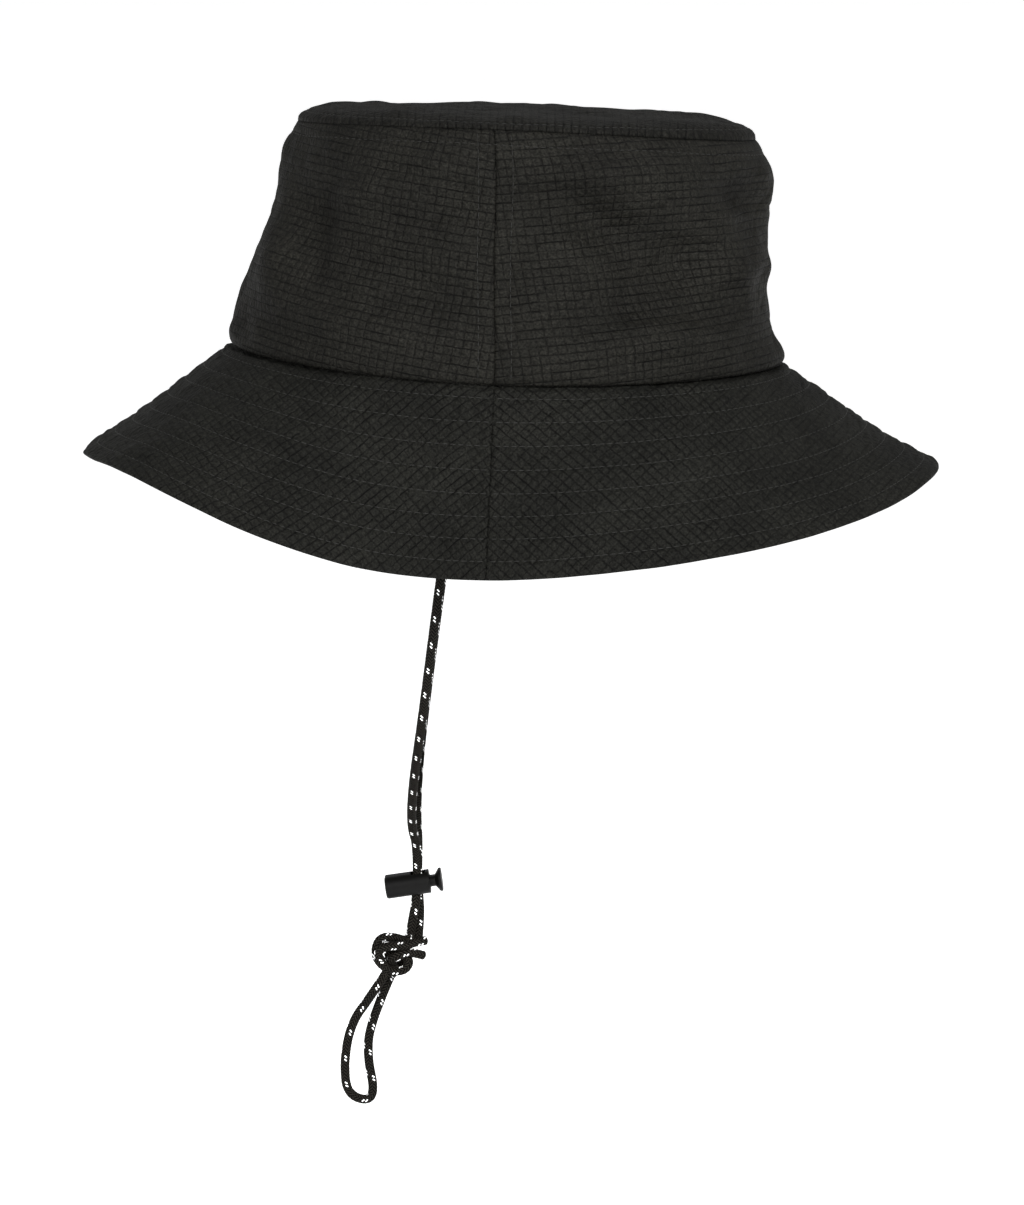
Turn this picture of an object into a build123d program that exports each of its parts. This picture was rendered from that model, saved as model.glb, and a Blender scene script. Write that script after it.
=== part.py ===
from build123d import *
import os
from math import atan2, ceil, cos, degrees, pi, radians, sin, tan

# A soft bucket hat with a chin cord, worn size 58 cm.
# Frame: origin at the centre of the head opening, +Z up, the hat's front toward -Y,
# the wearer's left toward +X. All lengths are millimetres, all angles degrees.

# --- driving dimensions -----------------------------------------------------------------
# Head opening: the seam between crown and brim.
OPENING_LENGTH = 207.0
OPENING_WIDTH = 172.0
OPENING_SAG = 4.3  # the seam hangs this much lower at the sides
SEAM_FORWARD = 2.0  # the side seams sit this many degrees ahead of the middle

# Crown tip: the seam between the crown wall and the top panel.
TIP_LENGTH = 172.0
TIP_WIDTH = 138.0
TIP_BACK = 4.8  # its centre lies behind the opening's centre
TIP_FORWARD = 8.0  # the side seams reach it this many degrees ahead of its middle
TIP_HEIGHT = 85.0
TIP_RISE = 1.8  # the front of the tip seam is this much higher, the back this much lower
DOME_HEIGHT = 6.3
SHOULDER = 14.0  # the tip panel rounds over within this much of its seam
SHOULDER_LEVEL = 0.93  # share of the dome's height kept where the rounding starts
DOME_EDGE_SPLAY = 0.45  # run for each unit of drop, where the dome meets its seam

# Crown wall: share of the inward lean reached at each share of the height.
WALL_HEIGHTS = (0.0, 0.25, 0.5, 0.8, 1.0)
FRONT_LEAN = (0.0, 0.13, 0.50, 0.80, 1.0)
BACK_LEAN = (0.0, 0.26, 0.45, 0.40, 1.0)

# Brim: slope below level, as cosine terms of the angle round from the front.
BRIM_WIDTH = 71.5
BRIM_SLOPE_TERMS = (50.6, -0.4, -18.3, 0.3, 3.4, 3.4)

# Layers.
CLOTH = 0.4
INTERLINING = 0.8
TAPE = 0.3
TAPE_WIDTH = 12.0
TAPE_GAP = 0.3
SIDE_TAPE_HEIGHTS = (0.03, 0.25, 0.5, 0.8)  # shares of the wall's height
TAPE_LIP_RISE = 2.0  # how far the tip tape climbs under the dome
SWEATBAND_OFFSET = 2.6
SWEATBAND_THICK = 1.0
SWEATBAND_HEIGHT = 32.0
BACK_JOIN_GAP = 0.3  # half the gap, in degrees, where a full ring's ends meet at the back

# Cord tabs: a strip sewn behind the sweatband, and a sleeve below it round the cord's end.
TAB_ANGLE = 84.0
TAB_WIDTH = 8.0
TAB_STRIP_THICK = 0.6
TAB_STRIP_TOP = 3.0
TAB_SLEEVE_THICK = 4.8
TAB_SLEEVE_TOP = -6.5
TAB_SLEEVE_BOTTOM = -18.0
TAB_OUT = -1.9  # the tab's outer face, from the opening seam
TAB_ROUND = 1.6  # corner radius of the sleeve's section

# Chin cord.
CORD_DIAMETER = 3.5
CORD_SPACING = 3.6  # the two runs side by side, through the lock
ARC_SHARE = 0.45  # each arc uses this share of its shorter run on each side of a corner
LEFT_ROUTE = (
    (80.9, -13.9, -19.3),
    (82.0, -17.5, -45.0),
    (79.5, -21.8, -88.0),
    (66.0, -25.0, -129.0),
    (41.0, -27.6, -160.0),
    (17.5, -28.6, -180.0),
    (CORD_SPACING / 2, -26.7, -189.0),
    (CORD_SPACING / 2, -26.7, -204.8),
)
RIGHT_ROUTE = (
    (-80.9, -13.9, -19.3),
    (-82.0, -17.0, -47.0),
    (-80.0, -21.4, -90.0),
    (-67.0, -24.6, -130.0),
    (-41.5, -27.0, -162.0),
    (-18.0, -27.2, -181.0),
    (-CORD_SPACING / 2, -26.7, -189.5),
    (-CORD_SPACING / 2, -26.7, -204.8),
)
KNOT_TOP = -224.1
LOOP_ROUTE = (
    (2.0, -36.5, -238.5),
    (2.2, -42.3, -250.0),
    (2.2, -48.9, -260.0),
    (2.0, -52.2, -273.0),
    (1.2, -51.0, -288.8),
    (-1.2, -42.0, -290.0),
    (-2.0, -43.3, -272.0),
    (-2.2, -40.8, -257.0),
    (-2.0, -34.8, -239.5),
)
KNOT_CENTRE = (0.0, -33.0, KNOT_TOP - 8.5)
KNOT_SIZE = (14.0, 20.0, 17.0)
KNOT_ROUND = 6.5

# Cord lock: an oval barrel whose axis tilts up toward the back.
LOCK_CENTRE = (0.0, -26.7, -204.8)
LOCK_TILT = 10.3
BARREL_WIDTH = 12.6
BARREL_HEIGHT = 8.4
BARREL_CLOSED_END = -12.2  # along the axis, from the cord hole's centre
BARREL_OPEN_END = 4.8
BARREL_WALL = 1.4
BARREL_ROUND = 0.9
CORD_HOLE_WIDTH = 7.4
CORD_HOLE_LENGTH = 5.6
CORD_HOLE_ROUND = 1.2
PLUNGER_PLAY = 0.15
PLUNGER_INNER_END = -5.5
PLUNGER_TRAVEL = 2.5
PLUNGER_NECK_END = 7.0
PLUNGER_FLARE_END = 8.6
PLUNGER_HEAD_END = 9.5
NECK_WIDTH = 7.0
NECK_HEIGHT = 4.0
HEAD_WIDTH = 12.0
HEAD_HEIGHT = 8.3
SPRING_WIRE = 0.5
SPRING_DIAMETER = 4.4
SPRING_TURNS = 3.5

STATIONS_PER_HALF = 12


# --- shape of the hat -------------------------------------------------------------------
def opening_point(angle):
    """A point of the crown-to-brim seam, at an angle round from the front."""
    a = radians(angle - SEAM_FORWARD * sin(radians(angle)))
    drop = OPENING_SAG * sin(radians(angle)) ** 2
    return Vector(OPENING_WIDTH / 2 * sin(a), -OPENING_LENGTH / 2 * cos(a), -drop)


def opening_outward(angle):
    """The level direction square to the seam, away from the head."""
    a = radians(angle - SEAM_FORWARD * sin(radians(angle)))
    return Vector(OPENING_LENGTH * sin(a), -OPENING_WIDTH * cos(a), 0).normalized()


def tip_point(angle):
    """A point of the seam between the crown wall and the tip panel."""
    a = radians(angle - TIP_FORWARD * sin(radians(angle)))
    y = TIP_BACK - TIP_LENGTH / 2 * cos(a)
    return Vector(TIP_WIDTH / 2 * sin(a), y, TIP_HEIGHT + TIP_RISE * cos(a))


def brim_slope(angle):
    terms = enumerate(BRIM_SLOPE_TERMS)
    return sum(size * cos(radians(order * angle)) for order, size in terms)


def upright_plane(point, outward):
    """A vertical sketch plane through a point, x outward and y up, its zero at opening height."""
    origin = Vector(point.X, point.Y, 0)
    return Plane(origin=origin, x_dir=outward, z_dir=outward.cross(Vector(0, 0, 1)))


def wall_lean(angle, height):
    """Share of the lean at a share of the height, blended from front to back."""
    front_share = (1 + cos(radians(angle))) / 2
    shares = []
    for table in (FRONT_LEAN, BACK_LEAN):
        for low, high, start, end in zip(WALL_HEIGHTS, WALL_HEIGHTS[1:], table, table[1:]):
            if low <= height <= high:
                shares.append(start + (end - start) * (height - low) / (high - low))
                break
    return shares[0] * front_share + shares[1] * (1 - front_share)


def wall_station(angle):
    """The crown wall's vertical plane at an angle, with its lean and its two seam heights."""
    low = opening_point(angle)
    high = tip_point(angle)
    level = Vector(low.X - high.X, low.Y - high.Y, 0)
    return upright_plane(low, level.normalized()), level.length, low.Z, high.Z


def wall_outline(angle, heights, inset):
    """Points up the crown wall, set in from its outer face."""
    plane, lean, low, high = wall_station(angle)
    points = [(-lean * wall_lean(angle, h) - inset, low + (high - low) * h) for h in heights]
    return plane, points


def angles_between(start, end):
    count = max(2, ceil(abs(end - start) / 180 * STATIONS_PER_HALF))
    return [start + (end - start) * i / count for i in range(count + 1)]


def wall_strip(start, end, heights, inset, thickness):
    """A sheet lying along the crown wall between two angles and over a span of heights."""
    with BuildPart() as strip:
        for angle in angles_between(start, end):
            plane, outer = wall_outline(angle, heights, inset)
            plane, inner = wall_outline(angle, heights, inset + thickness)
            with BuildSketch(plane):
                with BuildLine():
                    Spline(*outer)
                    Line(outer[-1], inner[-1])
                    Spline(*inner[::-1])
                    Line(inner[0], outer[0])
                make_face()
        loft()
    return strip


def brim_layer(start, end, above, below):
    """One layer of the brim between two angles, between two depths under its top face."""
    with BuildPart() as layer:
        for angle in angles_between(start, end):
            slope = radians(brim_slope(angle))
            seam = opening_point(angle)
            run = Vector(BRIM_WIDTH * cos(slope), -BRIM_WIDTH * sin(slope))
            down = Vector(-sin(slope), -cos(slope))
            root = Vector(0, seam.Z)
            corners = (
                root + down * above,
                root + run + down * above,
                root + run + down * below,
                root + down * below,
            )
            with BuildSketch(upright_plane(seam, opening_outward(angle))):
                with BuildLine():
                    Polyline(*[(c.X, c.Y) for c in corners], close=True)
                make_face()
        loft()
    return layer


def dome(inset):
    """The tip panel's solid form, inset from its outer face, as a rounded oval cap."""
    half = TIP_LENGTH / 2 - inset
    height = DOME_HEIGHT - inset
    profile = ((0, height), (half - SHOULDER, height * SHOULDER_LEVEL), (half, 0))
    with BuildPart() as cap:
        with BuildSketch(Plane.XZ):
            with BuildLine():
                Line((0, 0), profile[0])
                Spline(*profile, tangents=((1, 0), (DOME_EDGE_SPLAY, -1)))
                Line(profile[-1], (0, 0))
            make_face()
        revolve(axis=Axis.Z)
    return cap


def on_tip_seam(shape):
    """Scales a round form to the tip's oval and sets it on the tip seam's tilted plane."""
    oval = scale(shape, by=(TIP_WIDTH / TIP_LENGTH, 1, 1), mode=Mode.PRIVATE)
    tilt = -degrees(atan2(2 * TIP_RISE, TIP_LENGTH))
    return Pos(0, TIP_BACK, TIP_HEIGHT) * Rot(tilt, 0, 0) * oval


def side_seam_tape(angle):
    """The tape inside the crown that covers a side seam."""
    half_angle = degrees(TAPE_WIDTH / OPENING_WIDTH)
    start, end = angle - half_angle, angle + half_angle
    return wall_strip(start, end, SIDE_TAPE_HEIGHTS, CLOTH + TAPE_GAP, TAPE)


def tip_tape_section(angle):
    """The tape bent over the tip seam: half on the wall, half under the dome."""
    plane, lean, low, high = wall_station(angle)
    wall_end = 1 - TAPE_WIDTH / 2 / (high - low)
    inset = CLOTH + TAPE_GAP
    foot = -lean * wall_lean(angle, wall_end) - inset
    fold = -lean - inset
    foot_height = high - TAPE_WIDTH / 2
    corners = (
        (foot, foot_height),
        (fold, high),
        (fold - TAPE_WIDTH / 2, high + TAPE_LIP_RISE),
        (fold - TAPE_WIDTH / 2, high + TAPE_LIP_RISE - TAPE),
        (fold - TAPE, high - TAPE),
        (foot - TAPE, foot_height),
    )
    return plane, corners


def tip_tape():
    with BuildPart() as tape:
        for angle in angles_between(BACK_JOIN_GAP - 180, 180 - BACK_JOIN_GAP):
            plane, corners = tip_tape_section(angle)
            with BuildSketch(plane):
                with BuildLine():
                    Polyline(*corners, close=True)
                make_face()
        loft(ruled=True)
    return tape


def cord_tab(angle):
    """A strip sewn in behind the sweatband, and the sleeve below it that wraps the cord's end."""
    strip_bottom = TAB_SLEEVE_TOP - TAB_STRIP_THICK
    with BuildPart() as tab:
        with BuildSketch(upright_plane(opening_point(angle), opening_outward(angle))):
            with Locations((TAB_OUT - TAB_STRIP_THICK / 2, (TAB_STRIP_TOP + strip_bottom) / 2)):
                Rectangle(TAB_STRIP_THICK, TAB_STRIP_TOP - strip_bottom)
            with Locations((TAB_OUT - TAB_SLEEVE_THICK / 2, (TAB_SLEEVE_TOP + TAB_SLEEVE_BOTTOM) / 2)):
                RectangleRounded(TAB_SLEEVE_THICK, TAB_SLEEVE_TOP - TAB_SLEEVE_BOTTOM, TAB_ROUND)
        extrude(amount=TAB_WIDTH / 2, both=True)
    return tab


# --- chin cord --------------------------------------------------------------------------
def arc_radii(route):
    """The largest arc that each corner's two runs leave room for."""
    points = [Vector(*p) for p in route]
    radii = []
    for before, corner, after in zip(points, points[1:], points[2:]):
        turn = (corner - before).get_angle(after - corner)
        shorter = min((corner - before).length, (after - corner).length)
        radii.append(ARC_SHARE * shorter / tan(radians(turn / 2)))
    return radii


def cord_tube(name, route):
    radii = arc_radii(route)
    with BuildPart() as tube:
        with BuildLine():
            path = FilletPolyline(*route, radius=radii)
        with BuildSketch(Plane(origin=path @ 0, z_dir=path % 0)):
            Circle(CORD_DIAMETER / 2)
        sweep(path=path)
    section = pi * CORD_DIAMETER**2 / 4
    print(name, "arc radii", [round(r, 1) for r in radii], "length", round(path.length, 1))
    print(name, "volume over section times length", round(tube.part.volume / section / path.length, 4))
    return tube


def cords_below_lock():
    """The two runs of the chin cord from the lock's middle down to the knot."""
    x, y, z = LEFT_ROUTE[-1]
    with BuildPart() as pair:
        with BuildSketch(Plane.XY.offset(z)):
            with Locations((x, y), (-x, y)):
                Circle(CORD_DIAMETER / 2)
        extrude(amount=KNOT_TOP - z)
    return pair


# --- cord lock --------------------------------------------------------------------------
LOCK_AXIS = Vector(0, cos(radians(LOCK_TILT)), sin(radians(LOCK_TILT)))


def lock_plane(along):
    """A plane square to the lock's axis, at a distance from the cord hole's centre."""
    origin = Vector(*LOCK_CENTRE) + LOCK_AXIS * along
    return Plane(origin=origin, x_dir=(1, 0, 0), z_dir=LOCK_AXIS)


def cord_hole(length, centre):
    """The outline of a hole that the two cords pass straight down through."""
    x, y, z = LOCK_CENTRE
    with BuildSketch(Plane.XY.offset(z)) as hole:
        with Locations((x, y + centre)):
            RectangleRounded(CORD_HOLE_WIDTH, length, CORD_HOLE_ROUND)
    return hole.sketch


cavity_width = BARREL_WIDTH - 2 * BARREL_WALL
cavity_height = BARREL_HEIGHT - 2 * BARREL_WALL
cavity_floor = BARREL_CLOSED_END + BARREL_WALL

with BuildPart() as cord_lock_barrel:
    with BuildSketch(lock_plane(BARREL_CLOSED_END)):
        SlotOverall(BARREL_WIDTH, BARREL_HEIGHT)
    extrude(amount=BARREL_OPEN_END - BARREL_CLOSED_END)
    fillet(cord_lock_barrel.edges().group_by(Axis(LOCK_CENTRE, LOCK_AXIS))[0], BARREL_ROUND)
    with BuildSketch(lock_plane(cavity_floor)):
        SlotOverall(cavity_width, cavity_height)
    extrude(amount=BARREL_OPEN_END - cavity_floor, mode=Mode.SUBTRACT)
    extrude(cord_hole(CORD_HOLE_LENGTH, 0), amount=BARREL_HEIGHT, both=True, mode=Mode.SUBTRACT)

stem_width = cavity_width - 2 * PLUNGER_PLAY
stem_height = cavity_height - 2 * PLUNGER_PLAY
stem_end = BARREL_OPEN_END + PLUNGER_PLAY

with BuildPart() as cord_lock_plunger:
    with BuildSketch(lock_plane(PLUNGER_INNER_END)):
        SlotOverall(stem_width, stem_height)
    extrude(amount=stem_end - PLUNGER_INNER_END)
    slot = cord_hole(CORD_HOLE_LENGTH + PLUNGER_TRAVEL, PLUNGER_TRAVEL / 2)
    extrude(slot, amount=BARREL_HEIGHT, both=True, mode=Mode.SUBTRACT)
    with BuildSketch(lock_plane(stem_end)):
        SlotOverall(NECK_WIDTH, NECK_HEIGHT)
    extrude(amount=PLUNGER_NECK_END - stem_end)
    with BuildSketch(lock_plane(PLUNGER_NECK_END)):
        SlotOverall(NECK_WIDTH, NECK_HEIGHT)
    with BuildSketch(lock_plane(PLUNGER_FLARE_END)):
        SlotOverall(HEAD_WIDTH, HEAD_HEIGHT)
    loft()
    with BuildSketch(lock_plane(PLUNGER_FLARE_END)):
        SlotOverall(HEAD_WIDTH, HEAD_HEIGHT)
    extrude(amount=PLUNGER_HEAD_END - PLUNGER_FLARE_END)

spring_space = PLUNGER_INNER_END - cavity_floor
spring_rise = spring_space - SPRING_WIRE - 2 * PLUNGER_PLAY

with BuildPart() as cord_lock_spring:
    with BuildLine():
        coil = Helix(
            pitch=spring_rise / SPRING_TURNS,
            height=spring_rise,
            radius=(SPRING_DIAMETER - SPRING_WIRE) / 2,
            center=lock_plane(cavity_floor + PLUNGER_PLAY + SPRING_WIRE / 2).origin,
            direction=LOCK_AXIS,
        )
    with BuildSketch(Plane(origin=coil @ 0, z_dir=coil % 0)):
        Circle(SPRING_WIRE / 2)
    sweep(path=coil, is_frenet=True)

with BuildPart() as cord_knot:
    with Locations(KNOT_CENTRE):
        Box(*KNOT_SIZE)
    fillet(cord_knot.edges(), KNOT_ROUND)

# --- crown ------------------------------------------------------------------------------
with BuildPart() as crown_tip:
    add(on_tip_seam(dome(0).part - dome(CLOTH).part))

BAND_TOP = SWEATBAND_HEIGHT / TIP_HEIGHT
BAND_HEIGHTS = (0.01, BAND_TOP / 2, BAND_TOP)
FULL_RING = (BACK_JOIN_GAP - 180, 180 - BACK_JOIN_GAP)

made = {
    "crown_tip": crown_tip,
    "crown_side_front": wall_strip(-90, 90, WALL_HEIGHTS, 0, CLOTH),
    "crown_side_back": wall_strip(90, 270, WALL_HEIGHTS, 0, CLOTH),
    "tip_seam_tape": tip_tape(),
    "side_seam_tape_left": side_seam_tape(90),
    "side_seam_tape_right": side_seam_tape(270),
    "sweatband": wall_strip(*FULL_RING, BAND_HEIGHTS, SWEATBAND_OFFSET, SWEATBAND_THICK),
    "cord_tab_left": cord_tab(TAB_ANGLE),
    "cord_tab_right": cord_tab(360 - TAB_ANGLE),
    "chin_cord_left_run": cord_tube("chin_cord_left_run", LEFT_ROUTE),
    "chin_cord_right_run": cord_tube("chin_cord_right_run", RIGHT_ROUTE),
    "chin_cord_below_lock": cords_below_lock(),
    "cord_knot": cord_knot,
    "pull_loop": cord_tube("pull_loop", LOOP_ROUTE),
    "cord_lock_barrel": cord_lock_barrel,
    "cord_lock_plunger": cord_lock_plunger,
    "cord_lock_spring": cord_lock_spring,
}

# --- brim: two halves of three layers each ----------------------------------------------
BRIM_LAYERS = {
    "brim_top": (0, CLOTH),
    "brim_interlining": (CLOTH, CLOTH + INTERLINING),
    "brim_under": (CLOTH + INTERLINING, 2 * CLOTH + INTERLINING),
}
for layer_name, (above, below) in BRIM_LAYERS.items():
    made[layer_name + "_front"] = brim_layer(-90, 90, above, below)
    made[layer_name + "_back"] = brim_layer(90, 270, above, below)

os.makedirs("parts", exist_ok=True)
for name, piece in made.items():
    piece.part.label = name
    export_step(piece.part, "parts/" + name + ".step")
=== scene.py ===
from math import cos, pi, radians, sin
import bpy
import numpy as np
from mathutils import Matrix, Vector


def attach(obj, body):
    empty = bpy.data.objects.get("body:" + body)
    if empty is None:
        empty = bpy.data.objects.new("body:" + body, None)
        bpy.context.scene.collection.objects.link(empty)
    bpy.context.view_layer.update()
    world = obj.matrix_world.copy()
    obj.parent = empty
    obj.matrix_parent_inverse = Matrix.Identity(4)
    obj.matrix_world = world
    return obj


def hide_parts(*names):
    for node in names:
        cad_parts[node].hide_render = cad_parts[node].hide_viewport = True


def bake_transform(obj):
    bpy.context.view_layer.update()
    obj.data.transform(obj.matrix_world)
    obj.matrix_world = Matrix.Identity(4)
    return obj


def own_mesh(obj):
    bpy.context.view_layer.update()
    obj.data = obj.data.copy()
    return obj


# A soft bucket hat with a chin cord. Shape formulas are in millimetres; objects are in metres.
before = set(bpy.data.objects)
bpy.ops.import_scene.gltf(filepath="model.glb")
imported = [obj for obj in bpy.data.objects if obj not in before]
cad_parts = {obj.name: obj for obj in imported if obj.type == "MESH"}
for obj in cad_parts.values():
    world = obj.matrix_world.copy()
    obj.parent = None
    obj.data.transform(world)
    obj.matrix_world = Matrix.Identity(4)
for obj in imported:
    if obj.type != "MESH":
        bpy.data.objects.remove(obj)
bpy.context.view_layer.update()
scene = bpy.context.scene
scene.view_settings.view_transform = "Standard"
MM = 0.001

# --- camera -----------------------------------------------------------------------------
ELEVATION, ROLL, DISTANCE = radians(8.03), radians(-2.06), 2.0
target = Vector((0, 5.65, -95.41)) * MM
back = Vector((cos(ELEVATION), 0, sin(ELEVATION)))
level, upright = Vector((0, 1, 0)), Vector((-sin(ELEVATION), 0, cos(ELEVATION)))
right = level * cos(ROLL) - upright * sin(ROLL)
up = level * sin(ROLL) + upright * cos(ROLL)
camera = bpy.data.objects.new("camera", bpy.data.cameras.new("camera"))
scene.collection.objects.link(camera)
turn = Matrix((right, up, back)).transposed().to_4x4()
camera.matrix_world = Matrix.Translation(target + back * DISTANCE) @ turn
camera.data.sensor_fit = "HORIZONTAL"
camera.data.sensor_width = 36
camera.data.lens = 185.27
camera.data.clip_start = 0.05
scene.camera = camera


# --- materials --------------------------------------------------------------------------
class Shade:
    """A node material, built from short calls that each return a socket."""

    def __init__(self, name):
        self.material = bpy.data.materials.new(name)
        self.material.use_nodes = True
        self.tree = self.material.node_tree
        self.shader = self.tree.nodes["Principled BSDF"]

    def node(self, kind, inputs=None, **settings):
        made = self.tree.nodes.new(kind)
        for key, value in settings.items():
            setattr(made, key, value)
        for key, value in (inputs or {}).items():
            self.put(made.inputs[key], value)
        return made

    def put(self, socket, value):
        if isinstance(value, bpy.types.NodeSocket):
            self.tree.links.new(value, socket)
        else:
            socket.default_value = value

    def math(self, kind, *values):
        made = self.tree.nodes.new("ShaderNodeMath")
        made.operation = kind
        for socket, value in zip(made.inputs, values):
            self.put(socket, value)
        return made.outputs[0]

    def scaled(self, vector, factor):
        made = self.node("ShaderNodeVectorMath", {"Vector": vector}, operation="SCALE")
        self.put(made.inputs["Scale"], factor)
        return made.outputs["Vector"]

    def added(self, first, second):
        made = self.node("ShaderNodeVectorMath", operation="ADD")
        self.put(made.inputs[0], first)
        self.put(made.inputs[1], second)
        return made.outputs["Vector"]

    def attribute(self, name, output="Vector"):
        return self.node("ShaderNodeAttribute", attribute_name=name).outputs[output]

    def millimetres(self):
        place = self.node("ShaderNodeTexCoord").outputs["Object"]
        return self.scaled(place, 1000.0)

    def noise(self, vector, size, detail=2.0, rough=0.5, output="Fac"):
        """Noise whose blobs are about this many millimetres across."""
        inputs = {"Vector": vector, "Scale": 1.0 / size, "Detail": detail, "Roughness": rough}
        return self.node("ShaderNodeTexNoise", inputs).outputs[output]

    def ramp(self, value, low, high, out_low=0.0, out_high=1.0):
        inputs = {"Value": value, "From Min": low, "From Max": high}
        inputs.update({"To Min": out_low, "To Max": out_high})
        return self.node("ShaderNodeMapRange", inputs).outputs["Result"]

    def mix(self, share, first, second):
        made = self.node("ShaderNodeMix", data_type="RGBA")
        self.put(made.inputs["Factor"], share)
        self.put(made.inputs[6], first)
        self.put(made.inputs[7], second)
        return made.outputs[2]

    def separate(self, vector):
        return self.node("ShaderNodeSeparateXYZ", {"Vector": vector}).outputs

    def finish(self, colour, rough, height, specular):
        """Fill in the shader; height is in millimetres."""
        bump = self.node("ShaderNodeBump", {"Height": height, "Distance": MM, "Strength": 1.0})
        self.put(self.shader.inputs["Normal"], bump.outputs["Normal"])
        self.put(self.shader.inputs["Base Color"], colour)
        self.put(self.shader.inputs["Roughness"], rough)
        self.shader.inputs["Specular IOR Level"].default_value = specular
        return self.material


RIPSTOP_CELL, WEAVE_PITCH = 3.0, 0.42  # millimetres


def yarn_lines(s, cut, distance, stretch, share):
    """Heavy yarns where the distance is near 0, worn away in streaks along them."""
    stretched = s.node("ShaderNodeMapping", {"Vector": cut, "Scale": stretch}).outputs[0]
    streak = s.ramp(s.noise(stretched, 3.0, 2.0), 0.36, 0.62, 0.3, 1.0)
    return s.math("MULTIPLY", s.ramp(distance, 0.05, 0.32, share, 0.0), streak)


def ripstop(name, tint, relief, warp_share, weft_share, wander):
    """Crinkled ripstop cloth: a grid of doubled yarns over a fine plain weave."""
    s = Shade(name)
    cut = s.scaled(s.attribute("cut"), 1000.0)
    drift = s.added(s.noise(cut, 3.4, 2.0, 0.5, "Color"), (-0.5, -0.5, -0.5))
    bent = s.added(cut, s.scaled(drift, wander))
    x, y, _ = s.separate(bent)
    across = s.math("PINGPONG", x, RIPSTOP_CELL / 2)
    along = s.math("PINGPONG", y, RIPSTOP_CELL / 2)
    nearest = s.math("MINIMUM", across, along)
    warp = yarn_lines(s, cut, across, (1.0, 0.22, 1), warp_share)
    weft = yarn_lines(s, cut, along, (0.22, 1.0, 1), weft_share)
    line = s.math("MAXIMUM", warp, weft)
    crinkle = s.noise(bent, 2.2, 4.0, 0.62)
    broad = s.noise(cut, 10.0, 2.0, 0.5)
    fx, fy, _ = s.separate(s.scaled(cut, 2 * pi / WEAVE_PITCH))
    weave = s.math("MULTIPLY", s.math("SINE", fx), s.math("SINE", fy))
    height = s.math("MULTIPLY", nearest, 0.18 * relief)
    height = s.math("MULTIPLY_ADD", crinkle, 0.9 * relief, height)
    height = s.math("MULTIPLY_ADD", broad, 1.3 * relief, height)
    height = s.math("MULTIPLY_ADD", line, -0.30 * relief, height)
    height = s.math("MULTIPLY_ADD", weave, 0.008, height)
    fine = s.ramp(s.noise(cut, 0.75, 3.0, 0.65), 0.32, 0.68, 0.25, 1.9)
    # Painted light: where the crinkles stand high the colour is lighter, and it is darker in their
    # hollows, over the cloth's own fine grain.
    grain_and_crinkle_light = s.math("MULTIPLY", fine, s.ramp(crinkle, 0.3, 0.75, 0.62, 1.45))
    # Painted shade and light in broad patches about 26 mm across, in place of the shading of
    # creases.
    painted_crease_shade = s.ramp(s.noise(cut, 26.0, 3.0), 0.3, 0.7, 0.74, 1.26)
    shade = s.math("MULTIPLY", grain_and_crinkle_light, painted_crease_shade)
    shade = s.math("MULTIPLY", shade, s.math("SUBTRACT", 1.0, s.math("MULTIPLY", line, 0.9)))
    colour = s.node("ShaderNodeCombineXYZ", dict(zip("XYZ", tint))).outputs[0]
    sheen = s.ramp(crinkle, 0.3, 0.7, 0.75, 0.62)
    return s.finish(s.scaled(colour, shade), sheen, height, 0.08)


def tape_cloth(name, tint, rib):
    """Woven tape: fine ribs, this many millimetres apart."""
    s = Shade(name)
    place = s.millimetres()
    x, y, z = s.separate(place)
    turn = s.math("SINE", s.math("MULTIPLY", z, 2 * pi / rib))
    side = s.math("SINE", s.math("MULTIPLY", s.math("ADD", x, y), 2 * pi / rib))
    ribs = s.math("MULTIPLY", turn, side)
    fuzz = s.noise(place, 0.8, 3.0)
    height = s.math("MULTIPLY_ADD", ribs, 0.05, s.math("MULTIPLY", fuzz, 0.08))
    dark = tuple(c * 0.6 for c in tint[:3]) + (1.0,)
    colour = s.mix(s.ramp(fuzz, 0.3, 0.7), dark, tint)
    return s.finish(colour, s.ramp(fuzz, 0.3, 0.7, 0.7, 0.85), height, 0.08)


def braided(name):
    """Braided polyester cord: near-black yarn with a pale tracer where "fleck" is 1."""
    s = Shade(name)
    place = s.millimetres()
    fibre = s.noise(place, 0.25, 2.0)
    wear = s.ramp(s.noise(place, 9.0, 2.0), 0.3, 0.7, 0.0, 0.5)
    yarn = s.mix(fibre, (0.003, 0.003, 0.0025, 1), (0.022, 0.020, 0.017, 1))
    pale = s.mix(wear, (0.92, 0.92, 0.92, 1), (0.72, 0.72, 0.74, 1))
    fleck = s.ramp(s.attribute("fleck", "Fac"), 0.35, 0.65)
    # Painted shade and highlight: the colour is black in the braid's gaps and up to twice as bright
    # on its yarn crowns.
    gap_shade_and_crown_highlight = s.ramp(s.attribute("valley", "Fac"), 0.55, 0.98, 0.0, 2.0)
    colour = s.scaled(s.mix(fleck, yarn, pale), gap_shade_and_crown_highlight)
    height = s.math("MULTIPLY", fibre, 0.05)
    return s.finish(colour, s.ramp(fibre, 0.2, 0.8, 0.5, 0.7), height, 0.02)


def plastic(name):
    """Moulded black nylon with a fine spark texture."""
    s = Shade(name)
    place = s.millimetres()
    grain = s.noise(place, 0.35, 3.0, 0.6)
    flow = s.noise(place, 6.0, 2.0)
    colour = s.mix(flow, (0.0014, 0.0014, 0.0013, 1), (0.003, 0.003, 0.0027, 1))
    height = s.math("MULTIPLY", grain, 0.05)
    return s.finish(colour, s.ramp(grain, 0.3, 0.7, 0.42, 0.56), height, 0.12)


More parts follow.
